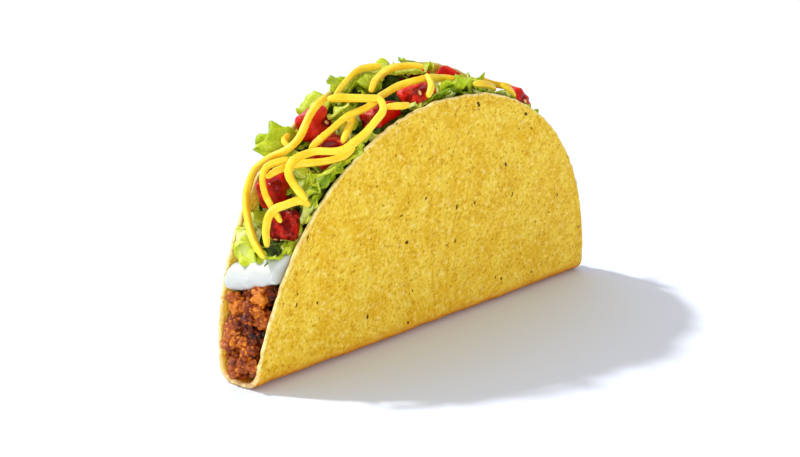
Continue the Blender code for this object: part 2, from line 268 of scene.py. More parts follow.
SHELL_CELLS = 176  # across the disc each way, inside its rim band
RIM_ROWS = [1.0 * MM, 0.7 * MM, 0.45 * MM, 0.25 * MM, 0.1 * MM, 0.0]  # points' distances from the rim
RIM_ROUND, RIM_SQUARENESS = 0.7 * MM, 2.6
RIM_THICKNESS, RIM_TAPER = 1.15 * MM, 5 * MM  # it is thinner at the rim, from the inside
RIM_THICKER, RIM_THICKER_REACH = 0.5 * MM, 9 * MM  # but less so at the fold
OWN_SIDE = 6 * MM
RIM_RAGGED, RIM_RAGGED_LENGTH, RIM_RAGGED_REACH = 0.35 * MM, 3 * MM, 4 * MM
WARP, WARP_LENGTH = 0.35 * MM, 24 * MM
UNEVEN, UNEVEN_LENGTH = 0.18, 9 * MM  # in thickness, as a share
BLISTER, BLISTER_LENGTH = 0.16 * MM, 5.5 * MM
GRIT, GRIT_LENGTH = 0.09 * MM, 1.7 * MM
OUTER, INNER_FACE = -1, 1
SAME_POINT = 0.001 * MM


def on_disc(u, v):
    """A place of the square from -1 to 1, moved onto the unit disc."""
    return u * math.sqrt(1 - v * v / 2), v * math.sqrt(1 - u * u / 2)


def tortilla_point(direction, from_middle, face):
    """A point of the folded tortilla's outer or inner face, and its place on the flat tortilla."""
    reach = rim_reach(direction)
    rim = reach - from_middle
    outward = Vector((math.cos(direction), math.sin(direction), 0))
    ragged = RIM_RAGGED * lump(outward * reach, RIM_RAGGED_LENGTH) * max(0.0, 1 - rim / RIM_RAGGED_REACH)
    flat = outward * (from_middle + ragged)
    round_fold = FOLD_OFFSET + flat.y
    rim_thickness = RIM_THICKNESS + RIM_THICKER * math.exp(-((round_fold / RIM_THICKER_REACH) ** 2))
    thickness = rim_thickness + (THICKNESS - rim_thickness) * min(1.0, rim / RIM_TAPER)
    rounding = 1 - (1 - min(1.0, rim / RIM_ROUND)) ** RIM_SQUARENESS
    half = thickness / 2 * rounding ** (1 / RIM_SQUARENESS)
    own = flat + Vector((0, 0, face * min(OWN_SIDE, rim + half)))  # each face's pattern is its own
    half *= 1 + UNEVEN * lump(flat, UNEVEN_LENGTH, 5)
    relief = BLISTER * lump(own, BLISTER_LENGTH) + GRIT * lump(own, GRIT_LENGTH)
    inside = thickness / 2 + WARP * lump(flat, WARP_LENGTH, 2) + face * (half + relief * rounding)
    if face == OUTER and abs(round_fold) < FLAT_HALF_WIDTH + CORNER_RADIUS / 3:
        inside = max(inside, 0.0)  # it stands flat
    y, z = section_point(round_fold, inside)
    return (flat.x, y, max(z, 0.0)), (flat.x, round_fold, own.z)


def new_piece(name, mesh, material, slot, *replaced):
    """Ends a mesh as a smooth piece that rides with the taco and stands for these nodes."""
    mesh.shade_smooth()
    mesh.materials.append(material)
    piece = bpy.data.objects.new(name, mesh)
    scene.collection.objects.link(piece)
    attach(piece, "root")
    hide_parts(*replaced)


def store(mesh, name, values):
    """Keeps one number or vector for each point of a mesh, for its finish to read."""
    values = np.array(values, float)
    kind, field = ("FLOAT", "value") if values.ndim == 1 else ("FLOAT_VECTOR", "vector")
    mesh.attributes.new(name, kind, "POINT").data.foreach_set(field, values.ravel())


evenly = np.linspace(-1, 1, SHELL_CELLS + 1)
count = len(evenly)
edge_walk = [(u, -1) for u in evenly[:-1]] + [(1, v) for v in evenly[:-1]]
edge_walk += [(u, 1) for u in evenly[:0:-1]] + [(-1, v) for v in evenly[:0:-1]]
edge = [math.atan2(y, x) for x, y in [on_disc(u, v) for u, v in edge_walk]]
places = []
for x, y in [on_disc(u, v) for v in evenly for u in evenly]:
    direction = math.atan2(y, x)
    places.append((direction, math.hypot(x, y) * (rim_reach(direction) - RIM_ROWS[0])))
for row in RIM_ROWS:
    places += [(direction, rim_reach(direction) - row) for direction in edge]
points, flats, rims, faces = [], [], [], []
for face in (OUTER, INNER_FACE):
    start = len(points)
    for direction, from_middle in places:
        point, flat = tortilla_point(direction, from_middle, face)
        points.append(point)
        flats.append(flat)
        rims.append(rim_reach(direction) - from_middle)
    for row in range(count - 1):
        for column in range(count - 1):
            corner = start + row * count + column
            quad = (corner, corner + 1, corner + count + 1, corner + count)
            faces.append(quad[:: -face])
    for row in range(len(RIM_ROWS) - 1):
        first = start + count * count + row * len(edge)
        for here in range(len(edge)):
            ahead = (here + 1) % len(edge)
            quad = (first + here, first + ahead, first + len(edge) + ahead, first + len(edge) + here)
            faces.append(quad[:: face])
mesh = bpy.data.meshes.new("shell")
mesh.from_pydata(points, [], faces)
store(mesh, "flat", flats)
store(mesh, "rim", rims)
welded = bmesh.new()
welded.from_mesh(mesh)
bmesh.ops.remove_doubles(welded, verts=welded.verts, dist=SAME_POINT)
bmesh.ops.recalc_face_normals(welded, faces=welded.faces)
welded.to_mesh(mesh)
welded.free()

CORN = (0.78, 0.46, 0.016), (0.87, 0.61, 0.055)
DARK_MEAL, PALE_MEAL = (0.62, 0.32, 0.006), (0.97, 0.77, 0.20)
DARK_SPECK, PALE_SPECK, PALE_FLECK = (0.54, 0.24, 0.003), (1.0, 0.82, 0.26), (1.0, 0.80, 0.40)
TOASTED, BROWNED, SCORCHED = (0.70, 0.30, 0.008), (0.82, 0.27, 0.008), (0.30, 0.085, 0.004)
CUT_RIM, DARK_PIT, DARK_DOT = (1.0, 0.87, 0.46), (0.09, 0.020, 0.002), (0.42, 0.13, 0.004)
PIT_CELL, PIT_SHAPE, DOT_CELL = 4.6 * MM, (0.8, 1.1, 1), 2.1 * MM
PIT_WANDER, PIT_WANDER_SIZE = 5 * MM, 6 * MM
CORN_RELIEF = 0.32 * MM
corn = Finish("fried corn", Roughness=0.65, Specular_IOR_Level=0.1)
flat = corn.stored("flat", out="Vector")
rim = corn.stored("rim")
fold = corn.place.node("SeparateXYZ", {}, {0: flat}, out=1)
mottle = flat.grain(8 * MM, detail=4)
meal = flat.grain(2.1 * MM, detail=5, roughness=0.7)
fine = flat.grain(1.0 * MM, detail=3)
flecks = flat.cells(3.2 * MM).step(0.30, 0.10) * flat.grain(6 * MM).step(0.48, 0.62)
scorch = flat.grain(0.9 * MM, detail=3).step(0.25, 0.5)
from_fold = fold.maths("ABSOLUTE", fold)
scorched = from_fold.step(9 * MM, 4 * MM) * fine.step(0.52, 0.40)
wander = flat.node("TexNoise", {}, {"Vector": flat, "Scale": 1 / PIT_WANDER_SIZE}, out=1)
bent = flat.node("VectorMath", {"operation": "MULTIPLY_ADD"}, {0: wander, 1: (PIT_WANDER,) * 3, 2: flat})
pit_colour = bent.cells(PIT_CELL, out="Color", stretch=PIT_SHAPE)
pit_kept = flat.node("SeparateColor", {}, {0: pit_colour})
pit_size = flat.node("SeparateColor", {}, {0: pit_colour}, out=1)
pits = bent.cells(PIT_CELL, stretch=PIT_SHAPE) + fine * 0.10 + pit_size * 0.10
pits = pits.step(0.22, 0.17) * pit_kept.step(0.45, 0.50)
dot_kept = flat.node("SeparateColor", {}, {0: flat.cells(DOT_CELL, out="Color")})
dots = flat.cells(DOT_CELL).step(0.20, 0.10) * dot_kept.step(0.68, 0.72)
colour = mottle.step(0.32, 0.68).tint(*CORN)
for mask, over in (
    (meal.step(0.48, 0.34) * 0.85, DARK_MEAL),
    (meal.step(0.53, 0.68) * 0.75, PALE_MEAL),
    (fine.step(0.46, 0.30) * 0.8, DARK_SPECK),
    (fine.step(0.55, 0.72) * 0.6, PALE_SPECK),
    (flecks * 0.4, PALE_FLECK),
    (from_fold.step(13 * MM, 4 * MM) * (0.25 + 0.55 * scorch), TOASTED),
    (from_fold.step(9 * MM, 6 * MM) * (0.35 + 0.5 * scorch), BROWNED),
    (scorched * 0.75, SCORCHED),
    (rim.step(0.9 * MM, 0.1 * MM) * (0.35 + 0.4 * meal.step(0.4, 0.6)), CUT_RIM),
    (pits * 0.95, DARK_PIT),
    (dots * 0.7, DARK_DOT),
):
    colour = mask.tint(colour, over)
corn.set("Base Color", colour)
corn.relief(meal + fine * 0.6 - pits * 0.8 - dots * 0.5 + scorched * 0.8, CORN_RELIEF)
new_piece("shell_corn", mesh, corn.material, "tortilla", "shell")


# The beef ---------------------------------------------------------------------
# Minced beef, fried loose in spiced fat: glossy red-brown crumbles with dark gaps between them. It
# fills the bottom of the fold from end to end, and shows at the two open ends.

WALL_SAMPLES = 400
wall_rounds = np.linspace(FLAT_HALF_WIDTH, HALF_SPAN + FOLD_OFFSET, WALL_SAMPLES)
INNER = {}
for side in (NEAR, FAR):
    walls = np.array([section_point(side * r, THICKNESS) for r in wall_rounds])
    INNER[side] = walls[:, 0], walls[:, 1]


def inner_y(z, side):
    """Where a wall's inner face is, at a height."""
    ys, zs = INNER[side]
    return float(np.interp(z, zs, ys))


def open_end(z, across):
    """How far along X the shell reaches at a height, between the near wall (-1) and the far wall (1)."""
    reach = []
    for side in (NEAR, FAR):
        round_fold = side * float(np.interp(z, INNER[side][1], wall_rounds)) - FOLD_OFFSET
        share = min(1.0, abs(round_fold) / HALF_SPAN)
        reach.append(HALF_LENGTH * (1 - share**OUTLINE_POWER) ** (1 / OUTLINE_POWER))
    return reach[0] + (reach[1] - reach[0]) * (across + 1) / 2


def shrunk(node, keep, anchor):
    """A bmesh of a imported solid, made smaller about a point to a share of its size each way."""
    core = bmesh.new()
    core.from_mesh(nodes[node].data)
    bmesh.ops.remove_doubles(core, verts=core.verts, dist=SAME_POINT)
    for vert in core.verts:
        vert.co = Vector(a + (c - a) * k for a, c, k in zip(anchor, vert.co, keep))
    return core


def ball(rounds):
    """The corners and faces of a round ball."""
    made = bmesh.new()
    bmesh.ops.create_icosphere(made, subdivisions=rounds, radius=1)
    made.verts.index_update()
    shape = [v.co.copy() for v in made.verts], [[v.index for v in f.verts] for f in made.faces]
    made.free()
    return shape


class Heap:
    """Many small lumps on a core as one mesh, each with a tone that its finish reads."""

    def __init__(self, core):
        self.points = [v.co.copy() for v in core.verts]
        core.verts.index_update()
        self.faces = [[v.index for v in f.verts] for f in core.faces]
        self.tones = [0.0] * len(self.points)
        core.free()

    def add(self, shape, middle, size, turn, relief, tone):
        """A ball scaled to a size each way, raised by relief(place) if there is one, and turned."""
        start = len(self.points)
        for out in shape[0]:
            place = Vector(o * s for o, s in zip(out, size))
            rise = relief(place) if relief else 0.0
            self.points.append(middle + turn @ (place + out * rise))
            # The tone is painted paler where the lump rises and darker in its hollows: painted shade in the
            # crevices.
            self.tones.append(tone + RISE_PAINTED_PALER * rise / CLUMP_LUMP)
        self.faces += [[start + i for i in face] for face in shape[1]]

    def mesh(self, name):
        made = bpy.data.meshes.new(name)
        made.from_pydata(self.points, [], self.faces)
        store(made, "tone", self.tones)
        return made


def random_turn(dice):
    angle = dice.uniform(0, math.tau)
    return Matrix.Rotation(angle, 3, Vector(dice.gauss(0, 1) for _ in range(3)).normalized())


CRUMBS_TOP = 27.2 * MM
CRUMBS_TILT = 3.2 * MM  # higher at the near wall
CLUMP_SIZES, CLUMP_STRETCHES, CLUMP_TONES = (1.0 * MM, 2.2 * MM), (0.7, 1.35), (0.16, 0.64)
CLUMP_ROWS, CLUMP_COLUMNS, CLUMP_LAYERS = 8, 4, 2
CLUMP_STRAY, CLUMP_STRAY_UP = 0.4, 0.45  # how far clumps lie off even rows, in places
CLUMP_LAYER_DEPTH = 2.2 * MM
CLUMP_FROM_WALL, CLUMP_FROM_END = 0.6, 0.9  # of its radius, from its middle
GRAIN_SIZES, GRAIN_STRETCHES, GRAIN_TONES = (0.35 * MM, 0.75 * MM), (0.65, 1.5), (-0.08, 0.14)
GRAINS_ON_CLUMP, GRAIN_SUNK, GRAIN_RELIEF = 10, 0.1, 0.45
CLUMP_LUMP, CLUMP_LUMP_SIZE = 0.55 * MM, 1.25 * MM
FINE_LUMP, FINE_LUMP_SIZE = 0.30 * MM, 0.5 * MM
END_PROUD = {NEAR: 1.8 * MM, FAR: 0.1 * MM}  # how far the crumbs stand out of the open ends
CLUMP_RECESS = 4.5 * MM
FAR_RECESS = 0.4  # the share of a clump's recess that is left at the far wall
# Painted shade in the beef: clumps set back are darker, and lumps are paler where they rise than in their
# hollows.
RECESS_PAINTED_SHADE, RISE_PAINTED_PALER = 0.6, 0.22
CORE_SHARE = 0.93, 0.9, 0.97
beef_dice = random.Random(4)
beef = Heap(shrunk("beef", CORE_SHARE, (0, 0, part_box("beef")[0].z)))
CLUMP, COARSE_CLUMP, GRAIN = ball(4), ball(3), ball(2)


def crumb_relief(seed, share):
    """Rounded lobes on a crumb, this share as high as a clump's."""
    def relief(shape):
        place = shape + Vector((seed, 0, 0))
        lobes = 0.8 - 1.6 * noise.noise(place / (CLUMP_LUMP_SIZE * share), noise_basis="VORONOI_F1")
        fine = 0.5 - noise.noise(place / FINE_LUMP_SIZE, noise_basis="VORONOI_F1")
        return CLUMP_LUMP * share * lobes + FINE_LUMP * fine
    return relief


for end in (-1, 1):
    for number in range(CLUMP_LAYERS * CLUMP_ROWS * CLUMP_COLUMNS):
        layer, place = divmod(number, CLUMP_ROWS * CLUMP_COLUMNS)
        row, column = divmod(place, CLUMP_COLUMNS)
        radius = beef_dice.uniform(*CLUMP_SIZES)
        size = [radius * beef_dice.uniform(*CLUMP_STRETCHES) for _ in range(3)]
        across = (column + 0.5 + beef_dice.uniform(-CLUMP_STRAY, CLUMP_STRAY)) / CLUMP_COLUMNS * 2 - 1
        level = (row + 0.5 + beef_dice.uniform(-CLUMP_STRAY_UP, CLUMP_STRAY_UP)) / CLUMP_ROWS
        from_wall = radius * CLUMP_FROM_WALL
        top = CRUMBS_TOP - CRUMBS_TILT * across - 0.4 * radius
        z = THICKNESS + from_wall + level * (top - THICKNESS - from_wall)
        low, high = inner_y(z, NEAR) + from_wall, inner_y(z, FAR) - from_wall
        y = low + (high - low) * (across + 1) / 2
        recess = beef_dice.uniform(0, 1) ** 2 * CLUMP_RECESS + layer * CLUMP_LAYER_DEPTH
        recess *= 1 - (1 - FAR_RECESS) * max(0.0, across)
        proud = END_PROUD[NEAR] + (END_PROUD[FAR] - END_PROUD[NEAR]) * (across + 1) / 2
        out = open_end(z, across) + proud - radius * CLUMP_FROM_END - recess
        middle = Vector((end * out, y, z))
        # Clumps set further back are painted darker on top of their own random tone: painted shade.
        tone = beef_dice.uniform(*CLUMP_TONES) - RECESS_PAINTED_SHADE * recess / CLUMP_RECESS
        relief = crumb_relief(beef_dice.uniform(0, 1), 1)
        shape = COARSE_CLUMP if layer else CLUMP
        beef.add(shape, middle, size, random_turn(beef_dice), relief, tone)
        for _ in range(0 if layer else GRAINS_ON_CLUMP):
            towards = Vector((end * 0.8, 0, 0.1)) + Vector(beef_dice.gauss(0, 0.8) for _ in range(3))
            grain = beef_dice.uniform(*GRAIN_SIZES)
            at = middle + towards.normalized() * (radius - grain * GRAIN_SUNK)
            grain_size = [grain * beef_dice.uniform(*GRAIN_STRETCHES) for _ in range(3)]
            relief = crumb_relief(beef_dice.uniform(0, 1), GRAIN_RELIEF)
            grain_tone = tone + beef_dice.uniform(*GRAIN_TONES)
            beef.add(GRAIN, at, grain_size, random_turn(beef_dice), relief, grain_tone)

BROWNS = [  # from the darkest crumbs, painted shade in the gaps, to the palest, partly painted light on their tops
    (0.0, (0.016, 0.002, 0.001)),
    (0.33, (0.17, 0.021, 0.001)),
    (0.62, (0.42, 0.078, 0.003)),
    (1.0, (0.80, 0.26, 0.02)),
]
mince = Finish("fried mince", Roughness=0.24, Specular_IOR_Level=0.3)
blotch = mince.place.grain(1.6 * MM, detail=4, roughness=0.65)
tone = mince.stored("tone") + 1.3 * (blotch - 0.5)
mince.set("Base Color", tone.node("ValToRGB", {"stops": BROWNS}, {0: tone}))
mince.relief(mince.place.grain(0.45 * MM, detail=3) - mince.place.cells(0.9 * MM), 0.22 * MM)
new_piece("beef_crumbles", beef.mesh("beef"), mince.material, "beef", "beef")


# The sour cream ---------------------------------------------------------------
# A thick band of sour cream, squeezed along the top of the beef. It sags over the beef at the open
# ends and bulges out between the walls.

CREAM_CELL = 0.8 * MM
CREAM_SOFTNESS = 9  # rounds of smoothing
CREAM_FOLD, CREAM_FOLD_SIZE = 0.8 * MM, 9 * MM
CREAM_END = 0.85  # the share of its length past which it bulges, widens and sags
CREAM_BULGE, CREAM_WIDENS = 2.4 * MM, 0.07
CREAM_RISE = 1.5 * MM  # at the tall wall
CREAM_EDGE_AT, CREAM_EDGE_UP = [-1, -0.35, 0, 0.2, 0.7, 1], [1.0, 0.9, -0.6, -1.0, -0.7, -0.3]  # in mm
CREAM_DROOP, CREAM_DROOP_SIZE = 0.7 * MM, 4 * MM


def solid_copy(node, cell, softness=6):
    """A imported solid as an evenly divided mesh, smoothed this many times."""
    copy = bpy.data.objects.new("copy", nodes[node].data.copy())
    scene.collection.objects.link(copy)
    remesh = copy.modifiers.new("even", "REMESH")
    remesh.mode = "VOXEL"
    remesh.voxel_size = cell
    soften = copy.modifiers.new("soft", "SMOOTH")
    soften.iterations = softness
    made = bpy.data.meshes.new_from_object(copy.evaluated_get(bpy.context.evaluated_depsgraph_get()))
    bpy.data.objects.remove(copy)
    made.materials.clear()
    return made


mesh = solid_copy("sour_cream", CREAM_CELL, CREAM_SOFTNESS)
cream_low, cream_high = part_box("sour_cream")
for vert in mesh.vertices:
    towards_end = max(0.0, abs(vert.co.x) / cream_high.x - CREAM_END) / (1 - CREAM_END)
    across = vert.co.y / cream_high.y
    fold = lump(vert.co, CREAM_FOLD_SIZE, 3) + 0.4 * lump(vert.co, CREAM_FOLD_SIZE / 3, 5)
    vert.co += vert.normal * (CREAM_FOLD * fold)
    vert.co.x += math.copysign(CREAM_BULGE * towards_end, vert.co.x)
    vert.co.y *= 1 + CREAM_WIDENS * towards_end
    level = (vert.co.z - cream_low.z) / (cream_high.z - cream_low.z)
    lower = min(1.0, max(0.0, 1.2 - 1.6 * level))
    edge = np.interp(across, CREAM_EDGE_AT, CREAM_EDGE_UP) * MM
    edge += CREAM_DROOP * lump(vert.co, CREAM_DROOP_SIZE, 8)
    vert.co.z += towards_end * (CREAM_RISE * (across + 1) / 2 + edge * lower)
cream = Finish("sour cream", Base_Color=(0.60, 0.63, 0.60, 1), Roughness=0.28,
               Subsurface_Weight=0.25, Subsurface_Radius=(0.002, 0.002, 0.0018), Subsurface_Scale=1.0)
cream.relief(cream.place.grain(2.5 * MM, detail=2), 0.15 * MM)
new_piece("sour_cream_band", mesh, cream.material, "cream", "sour_cream")


# The lettuce ------------------------------------------------------------------
# Lettuce cut across into strips and torn leaf, heaped to a little over the rims. Each piece is a thin
# crumpled sheet, pale by its rib and greener towards its frilled edge, and they lie loose on each other.

RIM_SAMPLES, RIM_SAMPLED = 181, 0.995  # of the half length
HEAP_DIP, HEAP_DIP_AT, HEAP_DIP_REACH = 4 * MM, math.radians(20), math.radians(12)
PAST_RIMS = 0.3  # how far past the rims the heap's slope is followed, as a share of the way across


def rim_line(side):
    """A wall's inner rim: angles from straight up, distances from the axis, and places across."""
    rows = []
    for x in np.linspace(-RIM_SAMPLED, RIM_SAMPLED, RIM_SAMPLES) * HALF_LENGTH:
        reach = HALF_SPAN * (1 - abs(x / HALF_LENGTH) ** OUTLINE_POWER) ** (1 / OUTLINE_POWER)
        y, z = section_point(FOLD_OFFSET + side * reach, THICKNESS)
        rows.append((math.atan2(x, z), math.hypot(x, z), y))
    return np.array(rows).T


RIMS = {side: rim_line(side) for side in (NEAR, FAR)}


def out_from_axis(angle):
    """Unit vector that points out of the taco's rounded top, at an angle from straight up."""
    return Vector((math.sin(angle), 0, math.cos(angle)))


def rims_at(angle):
    """Distance from the axis and place across of the near rim and of the far rim, at an angle."""
    return [(np.interp(angle, a, r), np.interp(angle, a, y)) for a, r, y in (RIMS[NEAR], RIMS[FAR])]


def on_heap(angle, across, lift):
    """A point this far above the line from rim to rim, at an angle and a place across."""
    (near_reach, near_y), (far_reach, far_y) = rims_at(angle)
    share = min(1 + PAST_RIMS, max(-PAST_RIMS, (across - near_y) / (far_y - near_y)))
    dip = HEAP_DIP * math.exp(-(((angle - HEAP_DIP_AT) / HEAP_DIP_REACH) ** 2)) * max(0.0, share)
    reach = near_reach + (far_reach - near_reach) * share - dip + lift
    return out_from_axis(angle) * reach + Vector((0, across, 0))


ROUTE_SAMPLES = 24


def through(before, start, end, after, t):
    """Catmull-Rom: a value between start and end, on a smooth curve through all four."""
    bend = 2 * before - 5 * start + 4 * end - after
    twist = 3 * start - before - 3 * end + after
    return 0.5 * (2 * start + t * (end - before) + t**2 * bend + t**3 * twist)


def smooth_line(knots, every):
    """Even points along a smooth curve through the knots, in as many dimensions as they have."""
    knots = np.array([knots[0], *knots, knots[-1]], float)
    steps = np.linspace(0, 1, ROUTE_SAMPLES, endpoint=False)
    dense = [through(*knots[i : i + 4], t) for i in range(len(knots) - 3) for t in steps]
    dense = np.array([*dense, knots[-2]])
    along = np.concatenate([[0], np.cumsum(np.linalg.norm(np.diff(dense, axis=0), axis=1))])
    at = np.linspace(0, along[-1], max(4, round(along[-1] / every) + 1))
    return np.stack([np.interp(at, along, column) for column in dense.T], axis=1)


def node_tree(*names):
    """A ray-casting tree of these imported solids."""
    corners, faces = [], []
    for name in names:
        data = nodes[name].data
        start = len(corners)
        corners += [v.co.copy() for v in data.vertices]
        faces += [[start + i for i in p.vertices] for p in data.polygons]
    return BVHTree.FromPolygons(corners, faces)


def height_over(tree, angle, across):
    """Distance from the taco's axis to the outermost surface at a place on the heap."""
    out = out_from_axis(angle)
    hit = tree.ray_cast(out * (2 * HALF_SPAN) + Vector((0, across, 0)), -out)[0]
    return None if hit is None else hit.dot(out)


RIM_CLEAR = 0.2 * MM


def keep_inside(point, gap):
    """The point, moved this far clear of a wall if it is below the rims."""
    angle, reach = math.atan2(point.x, point.z), math.hypot(point.x, point.z)
    for side, (rim_height, _) in zip((NEAR, FAR), rims_at(angle)):
        if reach < rim_height + RIM_CLEAR:
            wall = inner_y(point.z, side)
            if side * (point.y - wall) > -gap:
                point.y = wall - side * gap
    return point


BURIED_DIE = "tomato_12"  # leaves lie over this one
on_top = [name for name in nodes if name.startswith(("cheese", "tomato")) and name != BURIED_DIE]
toppings = node_tree(*on_top)
UNDER_REACH = 1.0 * MM  # leaves pass below what lies on them, and this far to each side of it
UNDER_STRAND = 2.5 * MM
DRAPE = 0.9  # the steepest slope of a leaf beside what presses it down


def pressed(rows):
    """Rows of a leaf's points, with the leaf pressed down below the cheese and tomato that lie on it."""
    angles = [[math.atan2(p.x, p.z) for p in row] for row in rows]
    reaches = [[math.hypot(p.x, p.z) for p in row] for row in rows]
    for i, row in enumerate(rows):
        for j, point in enumerate(row):
            for turn, across in ((0, 0), (1, 0), (-1, 0), (0, 1), (0, -1)):
                beside = angles[i][j] + turn * UNDER_REACH / HALF_SPAN
                top = height_over(toppings, beside, point.y + across * UNDER_REACH)
                if top is not None:
                    reaches[i][j] = min(reaches[i][j], top - UNDER_STRAND)
    for step in (1, -1):
        for i in range(len(rows))[::step]:
            for j in range(len(rows[i]))[::step]:
                for k, m in ((i - step, j), (i, j - step), (i - step, j + step)):
                    if 0 <= k < len(rows) and 0 <= m < len(rows[i]):
                        gap = (rows[i][j] - rows[k][m]).length
                        reaches[i][j] = min(reaches[i][j], reaches[k][m] + DRAPE * gap)
    lowered = []
    for three in zip(angles, reaches, rows):
        lowered.append([out_from_axis(a) * r + Vector((0, p.y, 0)) for a, r, p in zip(*three)])
    return lowered


CORE_CELL = 0.9 * MM
CORE_INSET, CORE_FOLD, CORE_FOLD_SIZE = 1.6 * MM, 3.0 * MM, 6 * MM
LEAF_STEP = 0.65 * MM
LEAF_CUTS = 10  # faces across a leaf
LEAF_HALF_THICK = 0.22 * MM
LEAF_EDGE_THIN = 0.35  # the share of its thickness that is left at its edge
LEAF_CLEAR = 0.3 * MM  # from the walls
LEAF_CRUMPLE, LEAF_CRUMPLE_SIZE = 0.45 * MM, 4 * MM
LEAF_TORN, LEAF_TORN_SIZE = 0.22, 2.2 * MM
FINE_CRUMPLE = 0.35  # a finer crumple's height, beside the main one's
LEAF_WAVER, LEAF_WAVER_SIZE = 0.3, 0.6  # how its width varies along it
LEAF_TWIST, LEAF_LEAN = 0.5, 0.35  # radians, and a share of half its width
LEAF_END, LEAF_TAPER = 0.25, 4  # a share of its width at its ends, and how fast it widens from there
FRILL_LENGTHS, FRILL_POWER = (3.5, 6), 2.5
FRILLS_APART = 1.7  # radians between the waves of its two edges
EDGE_GREENER = 0.25


def axes_at(line, i, up):
    """At a point of a line: the way along it, to its side, and up, as near to this up as it can be."""
    ahead = Vector(line[min(i + 1, len(line) - 1)] - line[max(i - 1, 0)]).normalized()
    side = ahead.cross(up).normalized()
    return ahead, side, side.cross(ahead)


class LeafMesh:
    """All the leaves as one mesh, with what their finish reads at each point."""

    def __init__(self):
        self.points, self.faces, self.flat, self.shade = [], [], [], []

    def add(self, seed, places, width, roll, ruffle, shade, cup=0.2):
        """A leaf along its places (angle, across in mm, lift in mm), with its width in mm. roll turns
        it about its line in degrees, from lying flat, and ruffle is its frill's height in mm. cup
        lifts its edges, and shade goes from 0, pale, to 1, dark green."""
        dice = random.Random(seed)
        knots = [tuple(on_heap(math.radians(a), y * MM, lift * MM)) for a, y, lift in places]
        line = smooth_line(knots, LEAF_STEP)
        count = len(line)
        half = width * MM / 2
        wave_length, phase = dice.uniform(*FRILL_LENGTHS) * MM, dice.uniform(0, math.tau)
        rows = []
        for i, place in enumerate(line):
            along, arc = i / (count - 1), i * LEAF_STEP
            tangent, side, up = axes_at(line, i, out_from_axis(math.atan2(place[0], place[2])))
            twist = LEAF_TWIST * lump((along * 3, seed, 0), 1.0)
            turn = Matrix.Rotation(-math.radians(roll) - twist, 3, tangent)
            side, up = turn @ side, turn @ up
            taper = min(1.0, LEAF_TAPER * along + LEAF_END, LEAF_TAPER * (1 - along) + LEAF_END)
            row = []
            for j in range(LEAF_CUTS + 1):
                t = 2 * j / LEAF_CUTS - 1
                edge = 1 + LEAF_TORN * lump((arc, t, seed), LEAF_TORN_SIZE)
                edge += LEAF_WAVER * lump((along, t, seed), LEAF_WAVER_SIZE)
                lean = LEAF_LEAN * half * lump((seed, t * 2, along), 1.0)
                flat = (t * half * taper * edge, arc)
                frill = ruffle * MM * abs(t) ** FRILL_POWER
                frill *= math.sin(arc / wave_length * math.tau + phase + (t > 0) * FRILLS_APART)
                crumple = LEAF_CRUMPLE * lump((*flat, seed), LEAF_CRUMPLE_SIZE, seed)
                crumple += FINE_CRUMPLE * LEAF_CRUMPLE * lump((*flat, seed), LEAF_CRUMPLE_SIZE / 3, seed)
                height = cup * half * t * t + frill + crumple
                row.append(Vector(place) + side * flat[0] + up * height + tangent * lean)
                self.flat.append((*flat, seed * 0.1))
                self.shade.append(shade + EDGE_GREENER * (abs(t) - 0.5))
            rows.append(row)
        rows = pressed(rows)
        start = len(self.points)
        upper, lower = [], []
        for i in range(count):
            for j in range(LEAF_CUTS + 1):
                ahead = rows[min(i + 1, count - 1)][j] - rows[max(i - 1, 0)][j]
                beside = rows[i][min(j + 1, LEAF_CUTS)] - rows[i][max(j - 1, 0)]
                up = beside.cross(ahead).normalized()
                thick = LEAF_HALF_THICK * (1.5 - abs(2 * j / LEAF_CUTS - 1))
                if j in (0, LEAF_CUTS) or i in (0, count - 1):
                    thick *= LEAF_EDGE_THIN
                upper.append(keep_inside(rows[i][j] + up * thick, LEAF_CLEAR))
                lower.append(keep_inside(rows[i][j] - up * thick, LEAF_CLEAR))
        self.points += upper + lower
        self.flat += self.flat[-len(upper) :]
        self.shade += self.shade[-len(upper) :]
        row, under = LEAF_CUTS + 1, start + len(upper)
        for i in range(count - 1):
            for j in range(LEAF_CUTS):
                a = i * row + j
                quad = (a, a + 1, a + row + 1, a + row)
                self.faces.append([start + q for q in quad])
                self.faces.append([under + q for q in quad[::-1]])
        border = list(range(row)) + [i * row + row - 1 for i in range(1, count)]
        border += [(count - 1) * row + j for j in range(row - 2, -1, -1)]
        border += [i * row for i in range(count - 2, 0, -1)]
        for a, b in zip(border, border[1:] + border[:1]):
            self.faces.append((start + b, start + a, under + a, under + b))

    def mesh(self, name):
        made = bpy.data.meshes.new(name)
        made.from_pydata(self.points, [], self.faces)
        store(made, "leaf", self.flat)
        store(made, "shade", self.shade)
        return made


